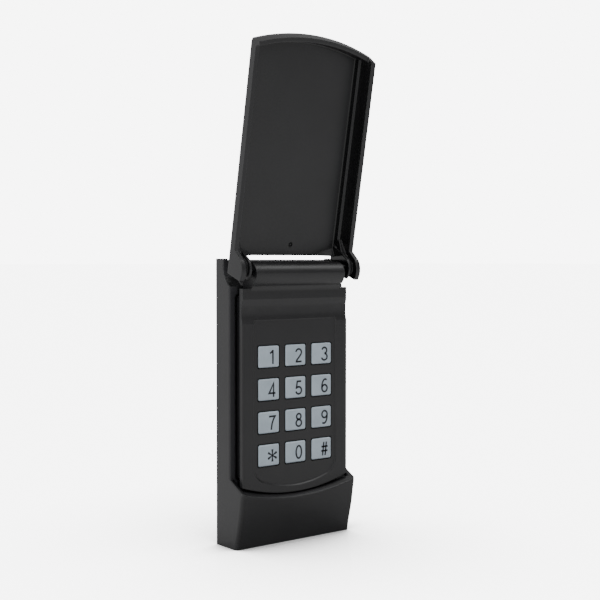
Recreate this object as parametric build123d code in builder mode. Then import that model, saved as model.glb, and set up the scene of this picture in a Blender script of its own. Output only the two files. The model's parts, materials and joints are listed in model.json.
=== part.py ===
from build123d import *
import math
import os

os.makedirs("parts", exist_ok=True)

# Weatherproof wireless keypad with a flip-up cover, millimetres, +Z up, front toward -Y, wall at y = 0.
# "Depth" is the distance from the wall plane toward the front.

# case
case_half = 32.95         # half width of the rear housing
case_top = 130.95
top_dip = 0.5             # the top is this much lower between the hinge arms
top_dip_half = 30.6
rim = 10.75               # depth of the side wall rims
rim_inner = 29.65         # inner half width at the rims
ledge_depth = 6.9         # the front shell stands on a ledge at this depth
ledge_inner = 27.9
back_wall = 2.0
open_bottom = 30.4        # front opening of the rear housing, from here
open_top = 115.0          # to here
well_bottom = 32.2        # the well behind the ledge, from here
well_top = 113.0          # to here
barrel_well = (44.0, 15.0, 119.5)  # width, height and middle height of the hollow behind the barrel

# chin
chin_foot = 15.9          # depth at the floor
chin_brow = 20.8          # depth at the top front edge
chin_block_top = 32.0
chin_corner = 1.2         # rounding of the upright front corners
chin_radius = 112.0       # curve of the chin's front top edge
chin_mid = 21.0           # height of that edge on the centre line
chin_slope = 0.556        # rise of the chin's top per millimetre toward the wall
groove_half = 30.9        # the chin's top steps down under the plate
groove_start = 17.9
groove_mid = 21.5
groove_slope = 0.4

# front shell
plate_half = 30.4
plate_face = 17.25
plate_brow = 17.5         # face of the plate above the hand dip
plate_back = 15.0
plate_top = 117.45
plate_mid = 23.0          # lowest point of the plate on the centre line
plate_radius = 94.0
plate_corner = 0.5
neck_half = 28.4
neck_wall = 1.8
neck_bottom = 30.6
neck_top = 114.4
skin_back = 14.3
pad_floor = 16.6          # bottom of the shallow recess round the keys
pad_half = 23.6
pad_top = 102.9
pad_bevel = 42.0          # slope of the recess wall in degrees
pad_corner = ((23.6, 37.0), (22.0, 32.2), (17.5, 29.3))
pad_low = 26.4            # lowest point of the recess on the centre line
barrel_half = 25.6
barrel_top = 129.6
barrel_back = 10.85
barrel_front = 21.8

# keys
key_w = 11.7
key_h = 9.8
key_face = 17.1
key_gap = 0.42
key_bevel = 0.5
col_pitch = 15.4
row_pitch = 15.0
top_row = 86.4
flange_w = 13.4
flange_h = 11.5
flange_front = 14.0
flange_back = 13.2
key_names = ("1", "2", "3", "4", "5", "6", "7", "8", "9", "star", "0", "hash")
key_spots = [((i % 3 - 1) * col_pitch, top_row - (i // 3) * row_pitch) for i in range(12)]

# hinge and cover
axis_depth = 15.73
axis_height = 126.79
lean = 10.56              # the open cover leans forward by this many degrees
cover_half = 34.4
skin = 9.8                # outer face of the cover behind its rim plane
panel = 8.0               # inner face of the cover behind its rim plane
panel_half = 28.2
shelf = 5.8               # depth of the narrow step inside the side walls
shelf_inner = 29.2
shelf_outer = 30.0
skirt_inner = 32.3        # inner half width at the rim plane
side_edge = 3.75          # height of the upright outer side face
panel_end = 4.25          # the panel starts this far above the hinge axis
tip_rim = 102.5           # hinge axis to the middle of the tip, in the rim plane
tip_inner = 101.7         # hinge axis to the inside of the tip wall
tip_slope = 0.556
tip_radius = 102.0
tip_edge = 2.0            # the tip wall stops this far behind the rim plane
tip_round = 3.7
tip_turn = tip_rim - tip_radius
arm_skin = 32.1           # the outer skin of an arm starts at this half width
lip_end = 29.3            # the inner lip of an arm ends at this half width
pin_r = 1.5
pin_inner = 21.6
pin_length = 10.0
pocket_r = 8.75
pocket_depth = 14.8
pocket_height = 126.2

# board
board_half = 21.0
board_front = 9.6
board_back = 8.0
board_bottom = 33.0
board_top = 108.5
board_screw_spots = ((-16.0, 104.0), (16.0, 104.0))
peg_spots = ((-7.7, 34.0), (7.7, 34.0))

# screws and wall holes
case_screw_spots = [(x, z) for x in (-24.2, 24.2) for z in (34.4, 108.6)]
wall_screw_spots = ((0, 48.0), (0, 100.0))
case_boss_back = 4.65
case_boss_depth = 4.6

# cells
cell_r = 5.15
cell_half = 21.8          # half length of a cell without its pole
cell_pole = 0.9
cell_depth = 7.6
cell_heights = (7.6, 18.2)
bay_half = 26.0
door_w = 49.2
door_h = 19.6
door_mid = 13.2
door_gap = 0.3

lean_sin = math.sin(math.radians(lean))
lean_cos = math.cos(math.radians(lean))
cover_up = (0, -lean_sin, lean_cos)
cover_out = (0, -lean_cos, -lean_sin)
hinge = (0, -axis_depth, axis_height)
cover_plane = Plane(origin=hinge, x_dir=(1, 0, 0), z_dir=cover_out)
section_plane = Plane(origin=hinge, x_dir=(1, 0, 0), z_dir=(0, lean_sin, -lean_cos))


def rise(x, radius):
    return radius - math.sqrt(radius * radius - x * x)


def side_plane(x):
    return Plane(origin=(x, -axis_depth, axis_height), x_dir=cover_up, z_dir=(1, 0, 0))


def front(depth):
    return Plane.XZ.offset(depth)


# everything above an arched line, from the given middle height up
def above_arch(mid, half, radius, top):
    end = mid + rise(half, radius)
    ThreePointArc((-half, end), (0, mid), (half, end))
    Polyline((half, end), (half, top), (-half, top), (-half, end))


# rear housing
with BuildPart() as rear_housing:
    with BuildSketch(Plane.YZ.offset(-case_half)):
        with BuildLine():
            Line((0, 0), (-chin_foot, 0))
            Spline((-chin_foot, 0), (-17.75, 8.5), (-19.2, 14.8), (-20.1, 20.5), (-chin_brow, 24.6))
            Polyline((-chin_brow, 24.6), (-chin_brow, chin_block_top), (-rim, chin_block_top))
            Polyline((-rim, chin_block_top), (-rim, case_top), (0, case_top), (0, 0))
        make_face()
    extrude(amount=2 * case_half)
    side_edges = rear_housing.edges().filter_by(lambda e: abs(e.center().X) > case_half - 0.1)
    front_edges = side_edges.filter_by(lambda e: e.center().Y < -chin_foot)
    fillet(front_edges.filter_by(lambda e: e.bounding_box().size.Z > 2), chin_corner)
    fillet(rear_housing.edges().filter_by(Axis.Z).group_by(Axis.Y)[-1], 0.3)
    # sloping, arched top of the chin, with a step down under the plate
    with BuildSketch(front(chin_brow)):
        with BuildLine():
            above_arch(chin_mid, case_half + 1, chin_radius, 50)
        make_face()
    extrude(
        amount=(chin_brow - rim) * math.sqrt(1 + chin_slope ** 2),
        dir=(0, 1, chin_slope),
        mode=Mode.SUBTRACT,
    )
    with BuildSketch(front(groove_start)):
        with BuildLine():
            above_arch(groove_mid, groove_half, chin_radius, 50)
        make_face()
    extrude(
        amount=(groove_start - rim) * math.sqrt(1 + groove_slope ** 2),
        dir=(0, 1, groove_slope),
        mode=Mode.SUBTRACT,
    )
    # front opening above the ledge, then the well below it
    with BuildSketch(front(rim)):
        with Locations((0, (open_bottom + open_top) / 2)):
            RectangleRounded(2 * rim_inner, open_top - open_bottom, 2.0)
    extrude(amount=ledge_depth - rim, mode=Mode.SUBTRACT)
    with BuildSketch(front(ledge_depth)):
        with Locations((0, (well_bottom + well_top) / 2)):
            RectangleRounded(2 * ledge_inner, well_top - well_bottom, 2.0)
        with Locations((0, barrel_well[2])):
            Rectangle(barrel_well[0], barrel_well[1])
    extrude(amount=back_wall - ledge_depth, mode=Mode.SUBTRACT)
    # lower top between the arms
    with BuildSketch(front(0)):
        with Locations((0, case_top)):
            Rectangle(2 * top_dip_half, 2 * top_dip)
    extrude(amount=rim + 1, mode=Mode.SUBTRACT)
    # round pockets for the hinge arms
    for x in (barrel_half, -case_half - 1):
        with BuildSketch(Plane.YZ.offset(x)):
            with BuildLine():
                back = pocket_r - pocket_depth
                low = pocket_height - pocket_r
                half = pocket_r * math.cos(math.radians(45))
                Line((back, 140), (back, pocket_height))
                ThreePointArc(
                    (back, pocket_height), (half - pocket_depth, pocket_height - half), (-pocket_depth, low)
                )
                Polyline((-pocket_depth, low), (-25, low), (-25, 140), (back, 140))
            make_face()
        extrude(amount=case_half + 1 - barrel_half, mode=Mode.SUBTRACT)
    # cell bay and its door opening
    with BuildSketch(Plane.YZ.offset(-bay_half)):
        with BuildLine():
            Polyline((-1.0, 2.1), (-13.1, 2.1), (-13.1, 20.6), (-9.2, 23.9), (-1.0, 23.9), (-1.0, 2.1))
        make_face()
    extrude(amount=2 * bay_half, mode=Mode.SUBTRACT)
    with BuildSketch(front(0)):
        with Locations((0, door_mid)):
            RectangleRounded(door_w, door_h, 1.5)
    extrude(amount=back_wall, mode=Mode.SUBTRACT)
    # wire windows between the bay and the well
    with BuildSketch(front(3.0)):
        with Locations((-20.9, 28.0), (20.9, 28.0)):
            Rectangle(10.2, 9.4)
    extrude(amount=ledge_depth - 3.0, mode=Mode.SUBTRACT)
    # bosses for the case screws, wall screw holes
    with BuildSketch(front(0)):
        with Locations(*case_screw_spots):
            Circle(3.3)
    extrude(amount=case_boss_depth)
    with BuildSketch(front(0)):
        with Locations(*case_screw_spots):
            Circle(2.5)
    extrude(amount=2.4, mode=Mode.SUBTRACT)
    with BuildSketch(front(0)):
        with Locations(*case_screw_spots):
            Circle(1.35)
    extrude(amount=case_boss_depth + 0.4, mode=Mode.SUBTRACT)
    with BuildSketch(front(0)):
        with Locations(*wall_screw_spots):
            Circle(2.2)
    extrude(amount=back_wall, mode=Mode.SUBTRACT)
rear_housing.part.label = "rear_housing"
export_step(rear_housing.part, "parts/rear_housing.step")

# front shell: face plate, neck and hinge barrel in one moulding
with BuildPart() as front_plate:
    with BuildSketch(Plane.YZ.offset(-plate_half)):
        with BuildLine():
            Polyline((-plate_back, 20), (-plate_face, 20), (-plate_face, 101.8))
            Spline(
                (-plate_face, 101.8), (-16.9, 103.0), (-16.63, 104.6), (-16.63, 108.6),
                (-16.75, 110.0), (-17.15, 111.3), (-plate_brow, 112.6),
            )
            Polyline((-plate_brow, 112.6), (-plate_brow, plate_top), (-plate_back, plate_top))
            Line((-plate_back, plate_top), (-plate_back, 20))
        make_face()
    extrude(amount=2 * plate_half)
    with BuildSketch(front(10.0)):
        with BuildLine():
            above_arch(plate_mid, plate_half, plate_radius, plate_top)
        make_face()
    extrude(amount=12.0, mode=Mode.INTERSECT)
    outline = front_plate.faces().sort_by(Axis.Y)[0].edges()
    fillet(outline.filter_by(lambda e: abs(e.center().X) > plate_half - 0.1 or e.center().Z < 40), plate_corner)
    # shallow recess round the keys, its wall sloping outward
    with BuildSketch(front(pad_floor)):
        with BuildLine():
            Line((-pad_half, pad_top), (pad_half, pad_top))
            Line((pad_half, pad_top), pad_corner[0])
            ThreePointArc(*pad_corner)
            ThreePointArc(pad_corner[2], (0, pad_low), (-pad_corner[2][0], pad_corner[2][1]))
            ThreePointArc(*[(-x, z) for x, z in reversed(pad_corner)])
            Line((-pad_half, pad_corner[0][1]), (-pad_half, pad_top))
        make_face()
    extrude(amount=1.0, taper=-pad_bevel, mode=Mode.SUBTRACT)
    # neck that drops into the rear housing
    with BuildSketch(front(ledge_depth)):
        with Locations((0, (neck_bottom + neck_top) / 2)):
            RectangleRounded(2 * neck_half, neck_top - neck_bottom, 1.6)
    extrude(amount=plate_back + 0.6 - ledge_depth)
    with BuildSketch(front(ledge_depth)):
        with Locations((0, (neck_bottom + neck_top) / 2)):
            RectangleRounded(2 * (neck_half - neck_wall), neck_top - neck_bottom - 2 * neck_wall, 0.8)
    extrude(amount=skin_back - ledge_depth, mode=Mode.SUBTRACT)
    # hinge barrel
    with BuildSketch(Plane.YZ.offset(-barrel_half)):
        with BuildLine():
            Polyline((-plate_brow, 116.2), (-plate_brow, 113.5), (-barrel_back, 113.5))
            Polyline((-barrel_back, 113.5), (-barrel_back, barrel_top), (-15.2, barrel_top))
            ThreePointArc((-15.2, barrel_top), (-19.8, 128.1), (-barrel_front, 124.6))
            ThreePointArc((-barrel_front, 124.6), (-21.2, 121.6), (-19.3, 119.2))
            ThreePointArc((-19.3, 119.2), (-18.0, 118.0), (-plate_brow, 116.2))
        make_face()
    extrude(amount=2 * barrel_half)
    with BuildSketch(front(10.0)):
        with Locations((0, 123.2)):
            Rectangle(40.0, 8.6)
    extrude(amount=7.6, mode=Mode.SUBTRACT)
    with BuildSketch(Plane.YZ.offset(-barrel_half)):
        with Locations((-axis_depth, axis_height)):
            Circle(pin_r + 0.05)
    extrude(amount=2 * barrel_half, mode=Mode.SUBTRACT)
    # key openings
    with BuildSketch(front(skin_back - 1)):
        with Locations(*key_spots):
            RectangleRounded(key_w + 2 * key_gap, key_h + 2 * key_gap, 1.0)
    extrude(amount=5.0, mode=Mode.SUBTRACT)
    # case screw bosses and board screw bosses
    with BuildSketch(front(case_boss_back)):
        with Locations(*case_screw_spots):
            Circle(2.3)
    extrude(amount=skin_back + 0.3 - case_boss_back)
    with BuildSketch(front(case_boss_back)):
        with Locations(*case_screw_spots):
            Circle(1.3)
    extrude(amount=8.4, mode=Mode.SUBTRACT)
    with BuildSketch(front(board_front)):
        with Locations(*board_screw_spots):
            Circle(2.2)
    extrude(amount=skin_back + 0.3 - board_front)
    with BuildSketch(front(board_front)):
        with Locations(*board_screw_spots):
            Circle(0.95)
    extrude(amount=4.0, mode=Mode.SUBTRACT)
    # two pegs that carry the lower end of the board
    with BuildSketch(front(board_front)):
        with Locations(*peg_spots):
            Circle(0.9)
    extrude(amount=skin_back + 0.3 - board_front)
front_plate.part.label = "front_plate"
export_step(front_plate.part, "parts/front_plate.step")

# rubber seal between the neck and the side walls
with BuildPart() as case_seal:
    with BuildSketch(front(ledge_depth)):
        with Locations((0, (open_bottom + open_top) / 2)):
            RectangleRounded(2 * rim_inner - 0.2, open_top - open_bottom - 0.1, 1.9)
        with Locations((0, (neck_bottom + neck_top) / 2)):
            RectangleRounded(2 * neck_half + 0.2, neck_top - neck_bottom + 0.1, 1.65, mode=Mode.SUBTRACT)
    extrude(amount=2.6)
case_seal.part.label = "case_seal"
export_step(case_seal.part, "parts/case_seal.step")


# a closed outline, symmetric about the middle, from the points of one side
def mirrored(points):
    Polyline(*points, *[(-x, y) for x, y in reversed(points)], points[0])


# hollow of the cover inside its panel and side walls
with BuildPart() as deep_hollow:
    with BuildSketch(section_plane):
        with BuildLine():
            mirrored(((-shelf_inner, 0), (-shelf_inner, -shelf), (-panel_half, -panel)))
        make_face()
        with BuildLine():
            mirrored(((-skirt_inner, 1), (-skirt_inner, 0), (-shelf_outer, -shelf)))
        make_face()
    extrude(amount=130, both=True)
    with BuildSketch(cover_plane.offset(2)):
        with Locations((0, tip_inner - tip_radius)):
            Circle(tip_radius)
    extrude(amount=-16, mode=Mode.INTERSECT)

# the shallower opening over the tip wall
with BuildPart() as skirt_hollow:
    with BuildSketch(section_plane):
        with BuildLine():
            edge = skirt_inner - (skirt_inner - shelf_outer) * tip_edge / shelf
            mirrored(((-skirt_inner, 1), (-skirt_inner, 0), (-edge, -tip_edge)))
        make_face()
    extrude(amount=130, both=True)

# flip cover with its two hinge arms
with BuildPart() as flip_cover:
    with BuildSketch(section_plane.offset(-panel_end)):
        with BuildLine():
            mirrored(((-cover_half, 0), (-cover_half, -side_edge), (-29.4, -9.2), (-28.4, -skin)))
        make_face()
    extrude(amount=-120)
    # the arched tip slopes back from the rim and is rounded over to the outer face
    with BuildSketch(side_plane(0)) as tip_section:
        with BuildLine():
            tip_back = tip_rim + tip_slope * skin
            Polyline((tip_turn, 0), (tip_rim, 0), (tip_back, -skin), (tip_turn, -skin), (tip_turn, 0))
        make_face()
        fillet(tip_section.vertices().sort_by(Axis.X)[-1], tip_round)
    turn_origin = (0, tip_turn * cover_up[1] - axis_depth, tip_turn * cover_up[2] + axis_height)
    revolve(axis=Axis(turn_origin, cover_out), mode=Mode.INTERSECT)
    add(deep_hollow.part, mode=Mode.SUBTRACT)
    add(skirt_hollow.part, mode=Mode.SUBTRACT)
    # outer skin of each arm
    for x in (arm_skin, -cover_half):
        with BuildSketch(side_plane(x)):
            with BuildLine():
                Polyline((-4.9, 6.2), (-3.1, -side_edge), (13.3, -side_edge), (13.3, 0), (7.7, 0), (4.4, 5.0))
                ThreePointArc((4.4, 5.0), (-0.8, 7.2), (-4.9, 6.2))
            make_face()
        extrude(amount=cover_half - arm_skin)
    # core of each arm
    for x in (lip_end - 0.1, -arm_skin - 0.1):
        with BuildSketch(side_plane(x)):
            with BuildLine():
                Polyline((-3.4, 2.63), (-3.1, -side_edge), (3.3, -5.6), (12.3, -5.9), (12.3, -4.9), (5.8, -1.5))
                Line((5.8, -1.5), (3.04, 3.04))
                ThreePointArc((3.04, 3.04), (0, 4.3), (-3.4, 2.63))
            make_face()
        extrude(amount=arm_skin - lip_end + 0.2)
    # inner lip of each arm
    for x in (panel_half, -lip_end):
        with BuildSketch(side_plane(x)):
            with BuildLine():
                Polyline((-4.6, 4.4), (-3.1, -side_edge), (0.8, -4.6), (2.3, -8.6), (8.8, -8.6), (8.8, -6.9))
                Polyline((8.8, -6.9), (7.0, -2.9), (6.6, -0.6), (4.3, 3.9))
                ThreePointArc((4.3, 3.9), (-0.4, 6.1), (-4.6, 4.4))
            make_face()
        extrude(amount=lip_end - panel_half)
    # tapering webs in the lower corners of the panel
    for side in (-1, 1):
        with BuildSketch(side_plane(side * (panel_half + 0.1))):
            with BuildLine():
                Polyline((panel_end, -8.1), (8.4, -8.1), (panel_end, -5.9), (panel_end, -8.1))
            make_face()
        with BuildSketch(side_plane(side * 19.5)):
            with BuildLine():
                Polyline((panel_end, -8.1), (6.0, -8.1), (panel_end, -7.8), (panel_end, -8.1))
            make_face()
        loft()
    # pin seats
    for x in (panel_half - 0.2, -31.7):
        with BuildSketch(side_plane(x)):
            Circle(pin_r + 0.01)
        extrude(amount=3.7, mode=Mode.SUBTRACT)
    # small moulded dimple near the hinge
    with BuildSketch(cover_plane.offset(-panel)):
        with Locations((2.6, 9.3)):
            Circle(1.05)
            Circle(0.45, mode=Mode.SUBTRACT)
    extrude(amount=-0.7, mode=Mode.SUBTRACT)
flip_cover.part.label = "flip_cover"
export_step(flip_cover.part, "parts/flip_cover.step")


def hinge_pin(side):
    with BuildPart() as pin:
        with BuildSketch(Plane.YZ.offset(side * pin_inner)):
            with Locations((-axis_depth, axis_height)):
                Circle(pin_r)
        extrude(amount=side * pin_length)
        chamfer(pin.edges().filter_by(GeomType.CIRCLE), 0.25)
    return pin


hinge_pin_left = hinge_pin(-1)
hinge_pin_left.part.label = "hinge_pin_left"
export_step(hinge_pin_left.part, "parts/hinge_pin_left.step")
hinge_pin_right = hinge_pin(1)
hinge_pin_right.part.label = "hinge_pin_right"
export_step(hinge_pin_right.part, "parts/hinge_pin_right.step")


# one key cap: bevelled face, retaining flange, hollow back with a stem
def key_cap(x, z):
    with BuildPart() as cap:
        with BuildSketch(front(flange_back)):
            with Locations((x, z)):
                RectangleRounded(key_w, key_h, 0.9)
        extrude(amount=key_face - flange_back)
        chamfer(cap.faces().sort_by(Axis.Y)[0].edges(), key_bevel)
        with BuildSketch(front(flange_back)):
            with Locations((x, z)):
                RectangleRounded(flange_w, flange_h, 1.0)
        extrude(amount=flange_front - flange_back)
        with BuildSketch(front(flange_back)):
            with Locations((x, z)):
                RectangleRounded(key_w - 2.6, key_h - 2.6, 0.6)
                Circle(1.6, mode=Mode.SUBTRACT)
        extrude(amount=2.4, mode=Mode.SUBTRACT)
    return cap


for cap_name, (cap_x, cap_z) in zip(key_names, key_spots):
    cap = key_cap(cap_x, cap_z)
    cap.part.label = "key_" + cap_name
    export_step(cap.part, "parts/key_" + cap_name + ".step")

# silicone sheet with a low dome under every key
with BuildPart() as key_mat:
    with BuildSketch(front(board_front)):
        with Locations((0, 64.1)):
            RectangleRounded(41.4, 57.8, 2.0)
    extrude(amount=1.1)
    with BuildSketch(front(board_front + 1.1)):
        with Locations(*key_spots):
            Circle(3.9)
    extrude(amount=1.3, taper=32)
    with BuildSketch(front(board_front)):
        with Locations(*key_spots):
            Circle(2.6)
    extrude(amount=1.5, mode=Mode.SUBTRACT)
key_mat.part.label = "key_mat"
export_step(key_mat.part, "parts/key_mat.step")

# gold contact pads under the domes
with BuildPart() as contact_pads:
    with BuildSketch(front(board_front)):
        with Locations(*key_spots):
            Circle(2.1)
    extrude(amount=0.15)
contact_pads.part.label = "contact_pads"
export_step(contact_pads.part, "parts/contact_pads.step")

# circuit board
with BuildPart() as circuit_board:
    with BuildSketch(front(board_back)):
        with Locations((0, (board_bottom + board_top) / 2)):
            RectangleRounded(2 * board_half, board_top - board_bottom, 1.0)
        with Locations(*board_screw_spots):
            Circle(1.1, mode=Mode.SUBTRACT)
    extrude(amount=board_front - board_back)
circuit_board.part.label = "circuit_board"
export_step(circuit_board.part, "parts/circuit_board.step")


lead_pitch = 1.27


def chip(x, z, w, h, thick, leads):
    with BuildPart() as body:
        with BuildSketch(front(board_back - 0.1)):
            with Locations((x, z)):
                Rectangle(w, h)
        extrude(amount=-thick)
        chamfer(body.faces().sort_by(Axis.Y)[-1].edges(), 0.2)
        with BuildSketch(front(board_back)):
            for row in range(leads):
                lead_z = z + (row - (leads - 1) / 2) * lead_pitch
                with Locations((x - w / 2 - 0.4, lead_z), (x + w / 2 + 0.4, lead_z)):
                    Rectangle(1.4, 0.45)
        extrude(amount=-0.45)
    return body


control_chip = chip(0, 60, 7.5, 12.8, 1.6, 10)
control_chip.part.label = "control_chip"
export_step(control_chip.part, "parts/control_chip.step")
radio_chip = chip(9, 88, 4.0, 5.0, 1.2, 4)
radio_chip.part.label = "radio_chip"
export_step(radio_chip.part, "parts/radio_chip.step")

with BuildPart() as crystal:
    with BuildSketch(front(board_back)):
        with Locations((-9, 76)):
            SlotOverall(10.2, 3.8)
    extrude(amount=-3.4)
    chamfer(crystal.faces().sort_by(Axis.Y)[-1].edges(), 0.4)
crystal.part.label = "crystal"
export_step(crystal.part, "parts/crystal.step")

with BuildPart() as capacitors:
    with BuildSketch(front(board_back)):
        with Locations((12, 44), (-12, 46)):
            Circle(2.5)
    extrude(amount=-5.0)
    can_tops = capacitors.faces().sort_by(Axis.Y)[-2:]
    fillet(can_tops.edges(), 0.4)
capacitors.part.label = "capacitors"
export_step(capacitors.part, "parts/capacitors.step")

# bent antenna wire standing off the back of the board
with BuildPart() as antenna_wire:
    with BuildLine() as antenna_run:
        FilletPolyline((-14, -board_back, 84), (-14, -5.2, 84), (-14, -5.2, 98), (10, -5.2, 98), radius=1.2)
    with BuildSketch(Plane(origin=antenna_run.line @ 0, z_dir=antenna_run.line % 0)):
        Circle(0.4)
    sweep()
antenna_wire.part.label = "antenna_wire"
export_step(antenna_wire.part, "parts/antenna_wire.step")


# a small cell lying along X, its raised pole toward the given side
def cell(z, side):
    with BuildPart() as body:
        with BuildSketch(Plane.YZ.offset(-cell_half)):
            with Locations((-cell_depth, z)):
                Circle(cell_r)
        extrude(amount=2 * cell_half)
        fillet(body.edges().filter_by(GeomType.CIRCLE), 0.5)
        with BuildSketch(Plane.YZ.offset(side * cell_half)):
            with Locations((-cell_depth, z)):
                Circle(1.9)
        extrude(amount=side * cell_pole)
    return body


lower_cell = cell(cell_heights[0], 1)
lower_cell.part.label = "lower_cell"
export_step(lower_cell.part, "parts/lower_cell.step")
upper_cell = cell(cell_heights[1], -1)
upper_cell.part.label = "upper_cell"
export_step(upper_cell.part, "parts/upper_cell.step")


# sprung contacts at the flat ends, dimpled plates at the raised ends
def cell_spring(z, side):
    with BuildPart() as coil:
        with BuildLine() as run:
            start = (22.25 if side > 0 else -24.85, -cell_depth, z)
            Helix(pitch=0.8, height=2.6, radius=2.4, center=start, direction=(1, 0, 0))
        with BuildSketch(Plane(origin=run.line @ 0, z_dir=run.line % 0)):
            Circle(0.25)
        sweep()
    return coil


lower_spring = cell_spring(cell_heights[0], -1)
lower_spring.part.label = "lower_spring"
export_step(lower_spring.part, "parts/lower_spring.step")
upper_spring = cell_spring(cell_heights[1], 1)
upper_spring.part.label = "upper_spring"
export_step(upper_spring.part, "parts/upper_spring.step")


def contact_plate(side, boss_z):
    with BuildPart() as plate:
        with BuildSketch(Plane.YZ.offset(side * 25.5)):
            with Locations((-6.8, 12.9)):
                RectangleRounded(6.8, 19.6, 1.0)
        extrude(amount=side * 0.45)
        with BuildSketch(Plane.YZ.offset(side * 22.75)):
            with Locations((-cell_depth, boss_z)):
                Circle(1.5)
        extrude(amount=side * 2.75)
    return plate


contact_plate_right = contact_plate(1, cell_heights[0])
contact_plate_right.part.label = "contact_plate_right"
export_step(contact_plate_right.part, "parts/contact_plate_right.step")
contact_plate_left = contact_plate(-1, cell_heights[1])
contact_plate_left.part.label = "contact_plate_left"
export_step(contact_plate_left.part, "parts/contact_plate_left.step")


def battery_lead(side):
    with BuildPart() as lead:
        with BuildLine() as run:
            FilletPolyline(
                (side * 24.9, -5.0, 22.4),
                (side * 24.9, -5.0, 25.6),
                (side * 19.0, -5.0, 30.0),
                (side * 18.0, -5.0, 38.0),
                (side * 18.0, -board_back, 38.0),
                radius=1.4,
            )
        with BuildSketch(Plane(origin=run.line @ 0, z_dir=run.line % 0)):
            Circle(0.55)
        sweep()
    return lead


red_lead = battery_lead(1)
red_lead.part.label = "red_lead"
export_step(red_lead.part, "parts/red_lead.step")
black_lead = battery_lead(-1)
black_lead.part.label = "black_lead"
export_step(black_lead.part, "parts/black_lead.step")

# cell door in the back of the case
with BuildPart() as cell_door:
    with BuildSketch(front(0)):
        with Locations((0, door_mid)):
            RectangleRounded(door_w - 2 * door_gap, door_h - 2 * door_gap, 1.2)
    extrude(amount=1.7)
    with BuildSketch(front(0)):
        with Locations((0, 18.6)):
            SlotOverall(14.0, 4.0)
    extrude(amount=0.7, mode=Mode.SUBTRACT)
cell_door.part.label = "cell_door"
export_step(cell_door.part, "parts/cell_door.step")

# four case screws driven from the back
with BuildPart() as case_screws:
    with BuildSketch(front(0.5)):
        with Locations(*case_screw_spots):
            Circle(2.3)
    extrude(amount=1.85)
    with BuildSketch(front(0.5)):
        with Locations(*case_screw_spots):
            Rectangle(2.6, 0.6)
            Rectangle(0.6, 2.6)
    extrude(amount=0.9, mode=Mode.SUBTRACT)
    with BuildSketch(front(2.3)):
        with Locations(*case_screw_spots):
            Circle(1.25)
    extrude(amount=9.6)
case_screws.part.label = "case_screws"
export_step(case_screws.part, "parts/case_screws.step")

# two board screws
with BuildPart() as board_screws:
    with BuildSketch(front(6.6)):
        with Locations(*board_screw_spots):
            Circle(1.8)
    extrude(amount=1.4)
    with BuildSketch(front(6.6)):
        with Locations(*board_screw_spots):
            Rectangle(2.2, 0.5)
            Rectangle(0.5, 2.2)
    extrude(amount=0.7, mode=Mode.SUBTRACT)
    with BuildSketch(front(7.9)):
        with Locations(*board_screw_spots):
            Circle(0.9)
    extrude(amount=5.2)
board_screws.part.label = "board_screws"
export_step(board_screws.part, "parts/board_screws.step")
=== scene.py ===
import json
import math

import bpy
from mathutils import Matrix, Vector


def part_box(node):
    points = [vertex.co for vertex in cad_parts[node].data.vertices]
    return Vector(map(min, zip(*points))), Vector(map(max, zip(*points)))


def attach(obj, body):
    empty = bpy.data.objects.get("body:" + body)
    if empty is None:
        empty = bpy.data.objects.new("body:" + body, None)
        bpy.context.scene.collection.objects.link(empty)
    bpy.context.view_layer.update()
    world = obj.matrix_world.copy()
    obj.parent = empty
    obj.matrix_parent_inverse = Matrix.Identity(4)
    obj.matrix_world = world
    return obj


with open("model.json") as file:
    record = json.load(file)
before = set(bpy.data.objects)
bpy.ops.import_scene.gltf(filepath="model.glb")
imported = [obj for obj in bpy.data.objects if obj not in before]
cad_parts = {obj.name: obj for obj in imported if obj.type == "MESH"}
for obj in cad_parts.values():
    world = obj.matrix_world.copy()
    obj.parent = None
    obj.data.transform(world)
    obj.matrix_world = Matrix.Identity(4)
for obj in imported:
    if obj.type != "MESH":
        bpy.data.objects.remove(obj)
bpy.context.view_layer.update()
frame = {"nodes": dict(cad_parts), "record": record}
scene = bpy.context.scene
nodes = frame["nodes"]

# light levels
floor_glow = 6.5                      # the open floor, as it is seen
floor_contact = 0.3                   # the floor right beside the case, as it is seen
floor_bounce = 0.60                   # what the open floor throws on the keypad
floor_shade_reach = 0.14              # how far from the keypad the floor is shaded
floor_sheen = 0.9                     # mirror strength of the floor beside the case
backdrop = 7.4                        # the room, as it is seen
bright_side = (-0.60, 0.60, 0.50)     # direction from which the room is brightest
room_dark = 0.17                      # what the room throws on the keypad from its darkest side
room_bright = 0.95                    # and from its brightest
room_fade = 0.9

# places on the object in metres: x out from the middle, y negative toward the front
cover_wall = 0.0278                   # the cover's side walls are farther out than this
housing_wall = 0.0285                 # and so are the rear case's
rim_depth = -0.0115                   # the rims of the case's side walls are behind this
paint_edge = -0.01662                 # the key caps are silver in front of this; behind it their sides are dark as painted shade
cell_band = 0.0135                    # the end band of a cell's sleeve starts here
cell_steel = 0.0213                   # and its bare steel here

# colours of the plastics
shell_black = (0.010, 0.010, 0.0112)
housing_black = (0.012, 0.012, 0.0132)
# painted light for the front rims of the case's side walls
rim_painted_light = (0.042, 0.042, 0.046)
polished_black = (0.0022, 0.0022, 0.0026)
# painted shade for the key sides in the gaps around the keys
key_gap_shade = (0.012, 0.012, 0.014)
key_silver = (0.42, 0.495, 0.56)
# painted highlight for the key edges
key_edge_highlight = (0.86, 0.88, 0.90)
ink_black = (0.004, 0.006, 0.012)

# camera
cam_data = bpy.data.cameras.new("camera")
cam_data.lens = 67.26
cam_data.sensor_width = 36.0
cam = bpy.data.objects.new("camera", cam_data)
cam.location = (-0.31701, -0.42571, 0.12989)
cam.rotation_euler = (math.radians(90 - 2.0), 0, -math.radians(38.01))
scene.collection.objects.link(cam)
scene.camera = cam


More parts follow.
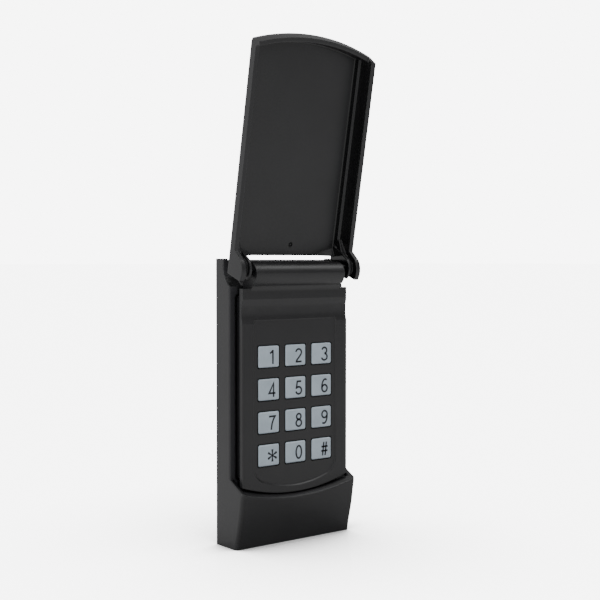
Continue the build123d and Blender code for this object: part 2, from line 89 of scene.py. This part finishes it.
class Nodes:
    """A material with its node tree, and short ways to add and join nodes."""

    def __init__(self, name):
        self.mat = bpy.data.materials.new(name)
        self.mat.use_nodes = True
        self.tree = self.mat.node_tree
        self.shader = self.tree.nodes["Principled BSDF"]

    def add(self, kind, **settings):
        node = self.tree.nodes.new(kind)
        for key, value in settings.items():
            setattr(node, key, value)
        return node

    def link(self, a, b):
        self.tree.links.new(a, b)

    def coords(self, output="Object"):
        return self.add("ShaderNodeTexCoord").outputs[output]

    def axes(self, output="Object"):
        """The x, y and z of the place on the object, or of its normal."""
        split = self.add("ShaderNodeSeparateXYZ")
        self.link(self.coords(output), split.inputs[0])
        return split.outputs["X"], split.outputs["Y"], split.outputs["Z"]

    def noise(self, scale, detail=2.0, rough=0.5):
        node = self.add("ShaderNodeTexNoise")
        node.inputs["Scale"].default_value = scale
        node.inputs["Detail"].default_value = detail
        node.inputs["Roughness"].default_value = rough
        self.link(self.coords(), node.inputs["Vector"])
        return node.outputs["Fac"]

    def ramp(self, source, stops):
        node = self.add("ShaderNodeValToRGB")
        element = node.color_ramp.elements
        for i, (place, color) in enumerate(stops):
            element[i].position = place
            element[i].color = (*color, 1)
        self.link(source, node.inputs["Fac"])
        return node.outputs["Color"]

    def span(self, source, low, high, start=0.0, end=1.0):
        node = self.add("ShaderNodeMapRange")
        node.inputs["From Min"].default_value = start
        node.inputs["From Max"].default_value = end
        node.inputs["To Min"].default_value = low
        node.inputs["To Max"].default_value = high
        self.link(source, node.inputs["Value"])
        return node.outputs["Result"]

    def math(self, operation, a, b=None):
        node = self.add("ShaderNodeMath", operation=operation)
        for socket, value in zip(node.inputs, (a, b)):
            if value is None:
                continue
            if isinstance(value, (int, float)):
                socket.default_value = value
            else:
                self.link(value, socket)
        return node.outputs[0]

    def mix(self, fac, a, b):
        node = self.add("ShaderNodeMix", data_type="RGBA")
        self.link(fac, node.inputs["Factor"])
        for socket, value in ((node.inputs[6], a), (node.inputs[7], b)):
            if isinstance(value, tuple):
                socket.default_value = (*value, 1)
            else:
                self.link(value, socket)
        return node.outputs[2]

    def edge(self, radius, gain):
        """A rounded normal, and where the surface turns: 0 on flats, toward 1 on edges."""
        bevel = self.add("ShaderNodeBevel", samples=8)
        bevel.inputs["Radius"].default_value = radius
        geometry = self.add("ShaderNodeNewGeometry")
        dot = self.add("ShaderNodeVectorMath", operation="DOT_PRODUCT")
        self.link(bevel.outputs[0], dot.inputs[0])
        self.link(geometry.outputs["Normal"], dot.inputs[1])
        turn = self.math("MULTIPLY", self.math("SUBTRACT", 1.0, dot.outputs["Value"]), gain)
        return bevel.outputs[0], self.math("MINIMUM", turn, 1.0)

    def bump(self, height, distance, strength, normal=None):
        node = self.add("ShaderNodeBump")
        node.inputs["Strength"].default_value = strength
        node.inputs["Distance"].default_value = distance
        self.link(height, node.inputs["Height"])
        if normal is not None:
            self.link(normal, node.inputs["Normal"])
        self.link(node.outputs["Normal"], self.shader.inputs["Normal"])

    def put(self, **values):
        names = {"rough": "Roughness", "metal": "Metallic", "specular": "Specular IOR Level"}
        for key, value in values.items():
            socket = self.shader.inputs[names[key]]
            if isinstance(value, (int, float)):
                socket.default_value = value
            else:
                self.link(value, socket)

    def color(self, source):
        self.link(source, self.shader.inputs["Base Color"])

    def source(self, name):
        """What now feeds an input of the shader."""
        return self.shader.inputs[name].links[0].from_socket


def scaled(color, factor):
    return tuple(min(c * factor, 1.0) for c in color)


def moulded(name, color, rough=0.37, grain=0.35, specular=0.5, edge_highlight_gain=1.6, radius=0.00035):
    """Moulded plastic: fine spark-eroded grain, faint clouding, and a painted highlight that lightens its
    edges.
    """
    n = Nodes(name)
    cloud = n.noise(scale=55.0, detail=4.0, rough=0.6)
    base = n.ramp(cloud, ((0.3, scaled(color, 0.86)), (0.7, scaled(color, 1.14))))
    normal, edge = n.edge(radius, edge_highlight_gain)
    # painted highlight: the colour is made lighter where the surface turns at an edge
    n.color(n.mix(edge, base, scaled(color, 2.6)))
    grain_height = n.noise(scale=2600.0, detail=3.0, rough=0.65)
    smudge = n.noise(scale=24.0, detail=3.0, rough=0.6)
    n.put(rough=n.span(smudge, rough - 0.05, rough + 0.05, start=0.3, end=0.7), specular=specular)
    n.bump(grain_height, distance=0.00003, strength=grain, normal=normal)
    return n


def metal(name, color, rough=0.25):
    """Plated or bare metal with a faint grain and a little tarnish."""
    n = Nodes(name)
    cloud = n.noise(scale=300.0, detail=3.0, rough=0.6)
    n.color(n.ramp(cloud, ((0.3, scaled(color, 0.8)), (0.7, color))))
    grain_height = n.noise(scale=5200.0)
    n.put(rough=n.span(cloud, rough - 0.06, rough + 0.1, start=0.3, end=0.7), metal=1.0)
    n.bump(grain_height, distance=0.00001, strength=0.3)
    return n.mat


def board_material():
    """Green solder mask with copper tracks running under it."""
    n = Nodes("board")
    x, _, _ = n.axes()
    bend = n.math("MULTIPLY", n.noise(scale=90.0, detail=0.0), 0.004)
    stripe = n.math("FRACT", n.math("MULTIPLY", n.math("ADD", x, bend), 620.0))
    track = n.math("GREATER_THAN", stripe, 0.62)
    patches = n.math("GREATER_THAN", n.noise(scale=160.0, detail=1.0), 0.5)
    copper = n.math("MULTIPLY", track, patches)
    n.color(n.mix(copper, (0.012, 0.10, 0.045), (0.03, 0.20, 0.08)))
    n.put(rough=n.span(n.noise(scale=40.0), 0.25, 0.4, start=0.3, end=0.7))
    n.bump(copper, distance=0.00004, strength=0.5)
    return n.mat


def cell_material():
    """Printed sleeve of a small dry cell: dark body, copper coloured end bands, bare steel ends."""
    n = Nodes("cell")
    x, _, _ = n.axes()
    along = n.math("ABSOLUTE", x)
    band = n.math("GREATER_THAN", along, cell_band)
    steel = n.math("GREATER_THAN", along, cell_steel)
    sleeve = n.mix(band, (0.02, 0.022, 0.028), (0.55, 0.26, 0.10))
    n.color(n.mix(steel, sleeve, (0.62, 0.62, 0.6)))
    shine = n.span(n.noise(scale=80.0), 0.25, 0.36, start=0.3, end=0.7)
    n.put(metal=n.span(band, 0.2, 0.9), rough=shine)
    n.bump(n.noise(scale=900.0), distance=0.00002, strength=0.2)
    return n.mat


def cover_material():
    """The cover: satin outside and on its panel, polished black on the walls that face inward."""
    n = moulded("cover_plastic", shell_black, rough=0.36, radius=0.0008)
    x, _, _ = n.axes()
    normal_x, _, _ = n.axes("Normal")
    inward = n.math("MULTIPLY", n.math("MULTIPLY", n.math("SIGN", x), normal_x), -1.0)
    on_wall = n.math("GREATER_THAN", n.math("ABSOLUTE", x), cover_wall)
    polished = n.math("MULTIPLY", n.math("GREATER_THAN", inward, 0.35), on_wall)
    n.color(n.mix(polished, n.source("Base Color"), polished_black))
    smoother = n.math("SUBTRACT", 1.0, n.math("MULTIPLY", polished, 0.6))
    n.put(rough=n.math("MULTIPLY", smoother, n.source("Roughness")))
    return n.mat


def housing_material():
    """The rear case: the front rims of its side walls are coloured a little lighter as painted light."""
    n = moulded("housing_plastic", housing_black, radius=0.0014)
    x, y, _ = n.axes()
    _, normal_y, _ = n.axes("Normal")
    on_wall = n.math("GREATER_THAN", n.math("ABSOLUTE", x), housing_wall)
    forward = n.math("MULTIPLY", n.math("LESS_THAN", normal_y, -0.9), on_wall)
    rim = n.math("MULTIPLY", forward, n.math("GREATER_THAN", y, rim_depth))
    # painted light: the forward faces of the side-wall rims are coloured lighter
    n.color(n.mix(rim, n.source("Base Color"), rim_painted_light))
    return n.mat


def key_material():
    """Silver painted key caps with a painted highlight whitening their edges, and sides behind the paint line
    darkened as painted shade for the gaps around the keys.
    """
    n = Nodes("key_paint")
    cloud = n.noise(scale=160.0, detail=3.0, rough=0.55)
    base = n.ramp(cloud, ((0.35, scaled(key_silver, 0.93)), (0.65, scaled(key_silver, 1.07))))
    normal, edge = n.edge(radius=0.0003, gain=5.0)
    # painted highlight: the key edges are whitened
    painted = n.mix(edge, base, key_edge_highlight)
    _, y, _ = n.axes()
    # painted shade: the key sides behind the paint line are made dark
    bare = n.math("GREATER_THAN", y, paint_edge)
    n.color(n.mix(bare, painted, key_gap_shade))
    n.put(rough=n.span(cloud, 0.30, 0.42, start=0.3, end=0.7), specular=0.6, metal=n.span(bare, 0.15, 0.0))
    n.bump(n.noise(scale=3000.0), distance=0.00002, strength=0.25, normal=normal)
    return n.mat


looks = {
    "seal": moulded("seal_rubber", (0.008, 0.008, 0.008), rough=0.7, grain=0.5, specular=0.3).mat,
    "silicone": moulded("silicone", (0.16, 0.18, 0.21), rough=0.6, grain=0.2, specular=0.35).mat,
    "chip": moulded("chip_epoxy", (0.012, 0.012, 0.013), rough=0.55, grain=0.6).mat,
    "red_wire": moulded("red_insulation", (0.42, 0.02, 0.02), rough=0.4, grain=0.1).mat,
    "black_wire": moulded("black_insulation", (0.012, 0.012, 0.012), rough=0.4, grain=0.1).mat,
    "steel": metal("steel", (0.60, 0.60, 0.62), rough=0.28),
    "gold": metal("gold_plate", (0.80, 0.60, 0.24), rough=0.22),
    "can": metal("can_aluminium", (0.72, 0.72, 0.74), rough=0.30),
    "copper": metal("enamelled_copper", (0.72, 0.36, 0.20), rough=0.3),
    "nickel": metal("nickel_plate", (0.66, 0.64, 0.58), rough=0.2),
    "board": board_material(),
    "cell": cell_material(),
    "case": moulded("case_plastic", shell_black).mat,
    "key": key_material(),
}
slot_of = {part["node"]: part["material_slot"] for part in frame["record"]["subparts"]}
own = {"flip_cover": cover_material(), "rear_housing": housing_material()}
for name, obj in nodes.items():
    obj.data.materials.clear()
    obj.data.materials.append(own.get(name, looks[slot_of[name]]))


# digits printed on the keys, drawn with strokes in a box one unit high
def arc(cx, cy, rx, ry, start, end, steps=20):
    turn = [math.radians(start + (end - start) * i / steps) for i in range(steps + 1)]
    return [(cx + rx * math.cos(a), cy + ry * math.sin(a)) for a in turn]


glyph_middle = 0.31
star_center = (0.33, 0.5)
star_arm = 0.44
six = [arc(0.31, 0.29, 0.245, 0.255, 0, 360, 32), arc(0.37, 0.42, 0.305, 0.535, 62, 197)]
glyphs = {
    "1": [[(0.12, 0.77), (0.25, 0.83), (0.33, 0.91), (0.37, 0.98)], [(0.385, 1.0), (0.385, 0.0)]],
    "2": [arc(0.30, 0.715, 0.25, 0.245, 172, -28) + [(0.36, 0.40), (0.17, 0.20), (0.06, 0.05)],
          [(0.03, 0.045), (0.57, 0.045)]],
    "3": [arc(0.29, 0.745, 0.225, 0.215, 165, -88), arc(0.29, 0.275, 0.255, 0.24, 88, -168)],
    "4": [[(0.44, 0.0), (0.44, 0.96), (0.04, 0.27), (0.61, 0.27)]],
    "5": [[(0.54, 0.955), (0.17, 0.955), (0.095, 0.49)] + arc(0.30, 0.30, 0.255, 0.26, 128, -165)],
    "6": six,
    "7": [[(0.04, 0.955), (0.57, 0.955), (0.41, 0.71), (0.30, 0.42), (0.235, 0.0)]],
    "8": [arc(0.31, 0.745, 0.20, 0.205, 0, 360, 32), arc(0.31, 0.275, 0.245, 0.24, 0, 360, 32)],
    "9": [[(2 * glyph_middle - x, 1.0 - y) for x, y in line] for line in six],
    "0": [arc(0.31, 0.5, 0.245, 0.455, 0, 360, 40)],
    "hash": [[(0.13, 0.0), (0.25, 1.0)], [(0.37, 0.0), (0.49, 1.0)], [(0.02, 0.66), (0.62, 0.66)],
             [(0.0, 0.34), (0.60, 0.34)]],
    "star": [[star_center, (star_center[0] + star_arm * math.sin(a), star_center[1] + star_arm * math.cos(a))]
             for a in (math.radians(60 * i) for i in range(6))],
}
digit_height = 0.0064
digit_shift = 0.1215      # the digits stand right of the key's middle by this share of its width
digit_drop = 0.02         # and below it by this share of its height
stroke = 0.00086
star_taper = (0.45, 1.35)  # a star's arm at its middle and at its end, against a plain stroke
ink_rise = 0.000015
ink_sink = 0.00003
sharpest = 0.35           # keeps the mitre of a sharp corner short
ink = moulded("ink", ink_black, rough=0.6, grain=0.2, edge_highlight_gain=0.0).mat


def ribbon(points, start_width, end_width):
    """Left and right points of a stroke with mitred corners; a closed stroke meets itself."""
    p = [Vector(q) for q in points]
    closed = (p[0] - p[-1]).length < 1e-6
    left, right = [], []
    for i, here in enumerate(p):
        before = p[i - 1] if i else (p[-2] if closed else None)
        after = p[i + 1] if i + 1 < len(p) else (p[1] if closed else None)
        d_in = (here - before).normalized() if before is not None else (after - here).normalized()
        d_out = (after - here).normalized() if after is not None else d_in
        mid = (d_in + d_out).normalized()
        side = Vector((-mid.y, mid.x)) / max(mid.dot(d_in), sharpest)
        width = start_width + (end_width - start_width) * i / (len(p) - 1)
        left.append(here + side * width / 2)
        right.append(here - side * width / 2)
    return left, right


def print_digit(name, key):
    """A thin slab of ink for one digit, sunk a little into the face of its key."""
    low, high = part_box(key)
    left_x = (low.x + high.x) / 2 + digit_shift * (high.x - low.x) - glyph_middle * digit_height
    bottom_z = (low.z + high.z) / 2 - digit_drop * (high.z - low.z) - digit_height / 2
    taper = star_taper if name == "star" else (1, 1)
    verts, faces = [], []
    for line in glyphs[name]:
        points = [(left_x + x * digit_height, bottom_z + y * digit_height) for x, y in line]
        left, right = ribbon(points, stroke * taper[0], stroke * taper[1])
        count = len(left)
        back = 2 * count
        first = len(verts)
        for y in (low.y - ink_rise, low.y + ink_sink):
            verts += [(q.x, y, q.y) for q in left] + [(q.x, y, q.y) for q in right]
        for i in range(count - 1):
            a, b, c, d = first + i, first + i + 1, first + count + i + 1, first + count + i
            faces += [(a, b, c, d), (d + back, c + back, b + back, a + back),
                      (b, a, a + back, b + back), (d, c, c + back, d + back)]
        for i, flip in ((0, False), (count - 1, True)):
            a, d = first + i, first + count + i
            quad = (a, d, d + back, a + back)
            faces.append(tuple(reversed(quad)) if flip else quad)
    mesh = bpy.data.meshes.new("digit_" + name)
    mesh.from_pydata(verts, [], faces)
    mesh.validate()
    obj = bpy.data.objects.new("digit_" + name, mesh)
    scene.collection.objects.link(obj)
    mesh.materials.append(ink)
    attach(obj, "button_" + name)


for key in [n for n in nodes if n.startswith("key_") and n != "key_mat"]:
    print_digit(key.removeprefix("key_"), key)


# plain pale floor: bright where it is open, shaded and faintly mirroring beside the keypad
bpy.ops.mesh.primitive_plane_add(size=80.0, location=(0, 0, 0))
floor = bpy.context.object
floor.name = "floor"
f = Nodes("floor")
f.color(f.ramp(f.noise(scale=3.0), ((0.3, (0.30, 0.30, 0.30)), (0.7, (0.34, 0.34, 0.34)))))
f.shader.inputs["Emission Color"].default_value = (1, 1, 1, 1)
seen = f.add("ShaderNodeLightPath").outputs["Is Camera Ray"]
near = f.add("ShaderNodeAmbientOcclusion", samples=12)
near.inputs["Distance"].default_value = floor_shade_reach
open_floor = near.outputs["AO"]
f.put(rough=0.12, specular=f.span(open_floor, floor_sheen, 0.0, start=0.6))
choice = f.add("ShaderNodeMix")
f.link(seen, choice.inputs["Factor"])
f.link(f.span(open_floor, 0.0, floor_bounce, start=0.72), choice.inputs["A"])
f.link(f.span(open_floor, floor_contact, floor_glow, start=0.5), choice.inputs["B"])
f.link(choice.outputs["Result"], f.shader.inputs["Emission Strength"])
floor.data.materials.append(f.mat)

# the room: white where it is seen, brighter at the back left than in front for what it lights
world = bpy.data.worlds.new("studio")
scene.world = world
world.use_nodes = True
sky = world.node_tree
background = sky.nodes["Background"]
background.inputs["Color"].default_value = (1, 1, 1, 1)
direction = sky.nodes.new("ShaderNodeTexCoord").outputs["Generated"]
toward = sky.nodes.new("ShaderNodeVectorMath")
toward.operation = "DOT_PRODUCT"
toward.inputs[1].default_value = Vector(bright_side).normalized()
sky.links.new(direction, toward.inputs[0])
fade = sky.nodes.new("ShaderNodeMapRange")
fade.interpolation_type = "SMOOTHSTEP"
fade.inputs["From Min"].default_value = -room_fade
fade.inputs["From Max"].default_value = room_fade
fade.inputs["To Min"].default_value = room_dark
fade.inputs["To Max"].default_value = room_bright
sky.links.new(toward.outputs["Value"], fade.inputs["Value"])
choose = sky.nodes.new("ShaderNodeMix")
choose.inputs["B"].default_value = backdrop
sky.links.new(sky.nodes.new("ShaderNodeLightPath").outputs["Is Camera Ray"], choose.inputs["Factor"])
sky.links.new(fade.outputs["Result"], choose.inputs["A"])
sky.links.new(choose.outputs["Result"], background.inputs["Strength"])


def softbox(name, place, target, size, power):
    data = bpy.data.lights.new(name, "AREA")
    data.shape = "RECTANGLE"
    data.size, data.size_y = size
    data.energy = power
    light = bpy.data.objects.new(name, data)
    light.location = place
    aim = Vector(target) - Vector(place)
    light.rotation_euler = aim.to_track_quat("-Z", "Y").to_euler()
    scene.collection.objects.link(light)
    light.visible_camera = False


softbox("left_box", (-0.75, -0.15, 0.75), (0, 0, 0.16), size=(0.5, 0.7), power=2.5)
softbox("front_box", (0.3, -1.1, 0.75), (0, 0, 0.12), size=(0.5, 0.8), power=1.6)
softbox("high_box", (0.50, -0.28, 0.85), (0, -0.03, 0.15), size=(0.40, 0.40), power=1.4)
softbox("edge_box", (-0.9, -0.02, 0.16), (0, -0.02, 0.14), size=(0.16, 0.6), power=1.0)
